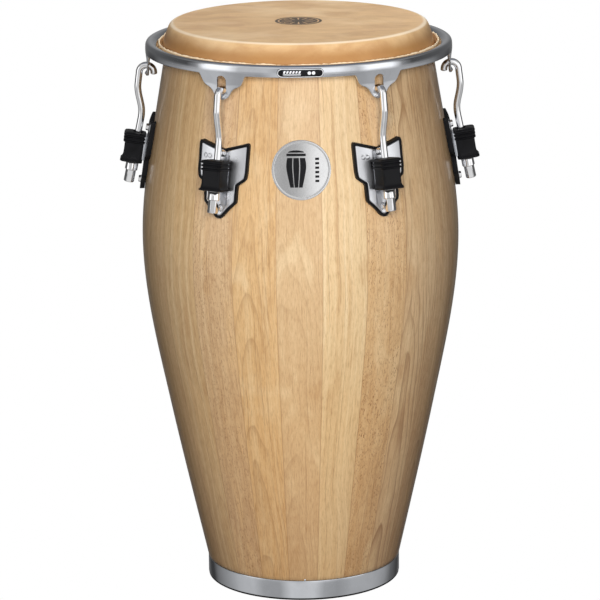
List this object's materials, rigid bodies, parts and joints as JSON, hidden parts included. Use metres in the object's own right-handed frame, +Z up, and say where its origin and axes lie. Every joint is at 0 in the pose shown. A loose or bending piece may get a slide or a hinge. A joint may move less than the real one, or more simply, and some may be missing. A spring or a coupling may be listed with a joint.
{
  "type": "conga drum",
  "caption": "Tall single-headed barrel drum with a staved wooden shell, a tucked hide head, a steel rim, and hooks, side plates and nuts that tension the rim.",
  "frame": {"origin": "middle of the underside of the foot, on the drum's axis", "axes": "+Z up along the drum's axis, -Y to the front with the round badge"},
  "size_m": [0.4434, 0.3946, 0.711],
  "materials": {
    "lacquered_wood": "clear high-gloss lacquer over pale oak-like staves",
    "hide": "smooth translucent rawhide",
    "hide_edge": "rough trimmed rawhide",
    "chrome": "polished chrome plate",
    "zinc_steel": "bright zinc plate",
    "black_rubber": "moulded black rubber",
    "brushed_metal": "fine brushed disc with a soft rolled edge",
    "black_enamel": "gloss black enamel with a pale border"
  },
  "bodies": {
    "shell": {"shell": "lacquered_wood", "foot_rubber": "black_rubber", "foot_ring": "chrome", "drum_skin": "hide", "shell_badge": "brushed_metal", "rubber_sleeve_1": "black_rubber", "rubber_sleeve_2": "black_rubber", "rubber_sleeve_3": "black_rubber", "rubber_sleeve_4": "black_rubber", "rubber_sleeve_5": "black_rubber", "rubber_sleeve_6": "black_rubber", "side_plate_1": "chrome", "side_plate_2": "chrome", "side_plate_3": "chrome", "side_plate_4": "chrome", "side_plate_5": "chrome", "side_plate_6": "chrome", "plate_gasket_1": "black_rubber", "plate_gasket_2": "black_rubber", "plate_gasket_3": "black_rubber", "plate_gasket_4": "black_rubber", "plate_gasket_5": "black_rubber", "plate_gasket_6": "black_rubber", "plate_bolt_upper_1": "zinc_steel", "plate_bolt_upper_2": "zinc_steel", "plate_bolt_upper_3": "zinc_steel", "plate_bolt_upper_4": "zinc_steel", "plate_bolt_upper_5": "zinc_steel", "plate_bolt_upper_6": "zinc_steel", "plate_bolt_lower_1": "zinc_steel", "plate_bolt_lower_2": "zinc_steel", "plate_bolt_lower_3": "zinc_steel", "plate_bolt_lower_4": "zinc_steel", "plate_bolt_lower_5": "zinc_steel", "plate_bolt_lower_6": "zinc_steel", "backing_plate_1": "zinc_steel", "backing_plate_2": "zinc_steel", "backing_plate_3": "zinc_steel", "backing_plate_4": "zinc_steel", "backing_plate_5": "zinc_steel", "backing_plate_6": "zinc_steel"},
    "rim": {"rim": "chrome", "rim_badge": "black_enamel", "flesh_hoop": "zinc_steel", "skin_edge": "hide_edge"},
    "hook_1": {"tuning_hook_1": "chrome"},
    "hook_2": {"tuning_hook_2": "chrome"},
    "hook_3": {"tuning_hook_3": "chrome"},
    "hook_4": {"tuning_hook_4": "chrome"},
    "hook_5": {"tuning_hook_5": "chrome"},
    "hook_6": {"tuning_hook_6": "chrome"},
    "nut_1": {"tuning_nut_1": "zinc_steel"},
    "nut_2": {"tuning_nut_2": "zinc_steel"},
    "nut_3": {"tuning_nut_3": "zinc_steel"},
    "nut_4": {"tuning_nut_4": "zinc_steel"},
    "nut_5": {"tuning_nut_5": "zinc_steel"},
    "nut_6": {"tuning_nut_6": "zinc_steel"}
  },
  "joints": [
    {"name": "rim_tension", "type": "slide", "parent": "shell", "child": "rim", "axis": [0, 0, -1], "range_m": [-0.003, 0.006]},
    {"name": "hook_1_draw", "type": "slide", "parent": "shell", "child": "hook_1", "axis": [0.104, -0.1801, -0.9781], "range_m": [-0.0032, 0.0063]},
    {"name": "hook_2_draw", "type": "slide", "parent": "shell", "child": "hook_2", "axis": [0.2079, 0, -0.9781], "range_m": [-0.0032, 0.0063]},
    {"name": "hook_3_draw", "type": "slide", "parent": "shell", "child": "hook_3", "axis": [0.104, 0.1801, -0.9781], "range_m": [-0.0032, 0.0063]},
    {"name": "hook_4_draw", "type": "slide", "parent": "shell", "child": "hook_4", "axis": [-0.104, 0.1801, -0.9781], "range_m": [-0.0032, 0.0063]},
    {"name": "hook_5_draw", "type": "slide", "parent": "shell", "child": "hook_5", "axis": [-0.2079, 0, -0.9781], "range_m": [-0.0032, 0.0063]},
    {"name": "hook_6_draw", "type": "slide", "parent": "shell", "child": "hook_6", "axis": [-0.104, -0.1801, -0.9781], "range_m": [-0.0032, 0.0063]},
    {"name": "nut_1_turn", "type": "hinge", "parent": "shell", "child": "nut_1", "pos_m": [0.1, -0.1732, 0.575], "axis": [-0.104, 0.1801, 0.9781], "range_deg": [-900, 1800]},
    {"name": "nut_2_turn", "type": "hinge", "parent": "shell", "child": "nut_2", "pos_m": [0.2, 0, 0.575], "axis": [-0.2079, 0, 0.9781], "range_deg": [-900, 1800]},
    {"name": "nut_3_turn", "type": "hinge", "parent": "shell", "child": "nut_3", "pos_m": [0.1, 0.1732, 0.575], "axis": [-0.104, -0.1801, 0.9781], "range_deg": [-900, 1800]},
    {"name": "nut_4_turn", "type": "hinge", "parent": "shell", "child": "nut_4", "pos_m": [-0.1, 0.1732, 0.575], "axis": [0.104, -0.1801, 0.9781], "range_deg": [-900, 1800]},
    {"name": "nut_5_turn", "type": "hinge", "parent": "shell", "child": "nut_5", "pos_m": [-0.2, 0, 0.575], "axis": [0.2079, 0, 0.9781], "range_deg": [-900, 1800]},
    {"name": "nut_6_turn", "type": "hinge", "parent": "shell", "child": "nut_6", "pos_m": [-0.1, -0.1732, 0.575], "axis": [0.104, 0.1801, 0.9781], "range_deg": [-900, 1800]}
  ],
  "couplings": [
    {"joint": "hook_1_draw", "follows": "rim_tension", "ratio": 1.0223},
    {"joint": "hook_2_draw", "follows": "rim_tension", "ratio": 1.0223},
    {"joint": "hook_3_draw", "follows": "rim_tension", "ratio": 1.0223},
    {"joint": "hook_4_draw", "follows": "rim_tension", "ratio": 1.0223},
    {"joint": "hook_5_draw", "follows": "rim_tension", "ratio": 1.0223},
    {"joint": "hook_6_draw", "follows": "rim_tension", "ratio": 1.0223},
    {"joint": "nut_1_turn", "follows": "rim_tension", "rad_per_m": 5138.8},
    {"joint": "nut_2_turn", "follows": "rim_tension", "rad_per_m": 5138.8},
    {"joint": "nut_3_turn", "follows": "rim_tension", "rad_per_m": 5138.8},
    {"joint": "nut_4_turn", "follows": "rim_tension", "rad_per_m": 5138.8},
    {"joint": "nut_5_turn", "follows": "rim_tension", "rad_per_m": 5138.8},
    {"joint": "nut_6_turn", "follows": "rim_tension", "rad_per_m": 5138.8}
  ]
}
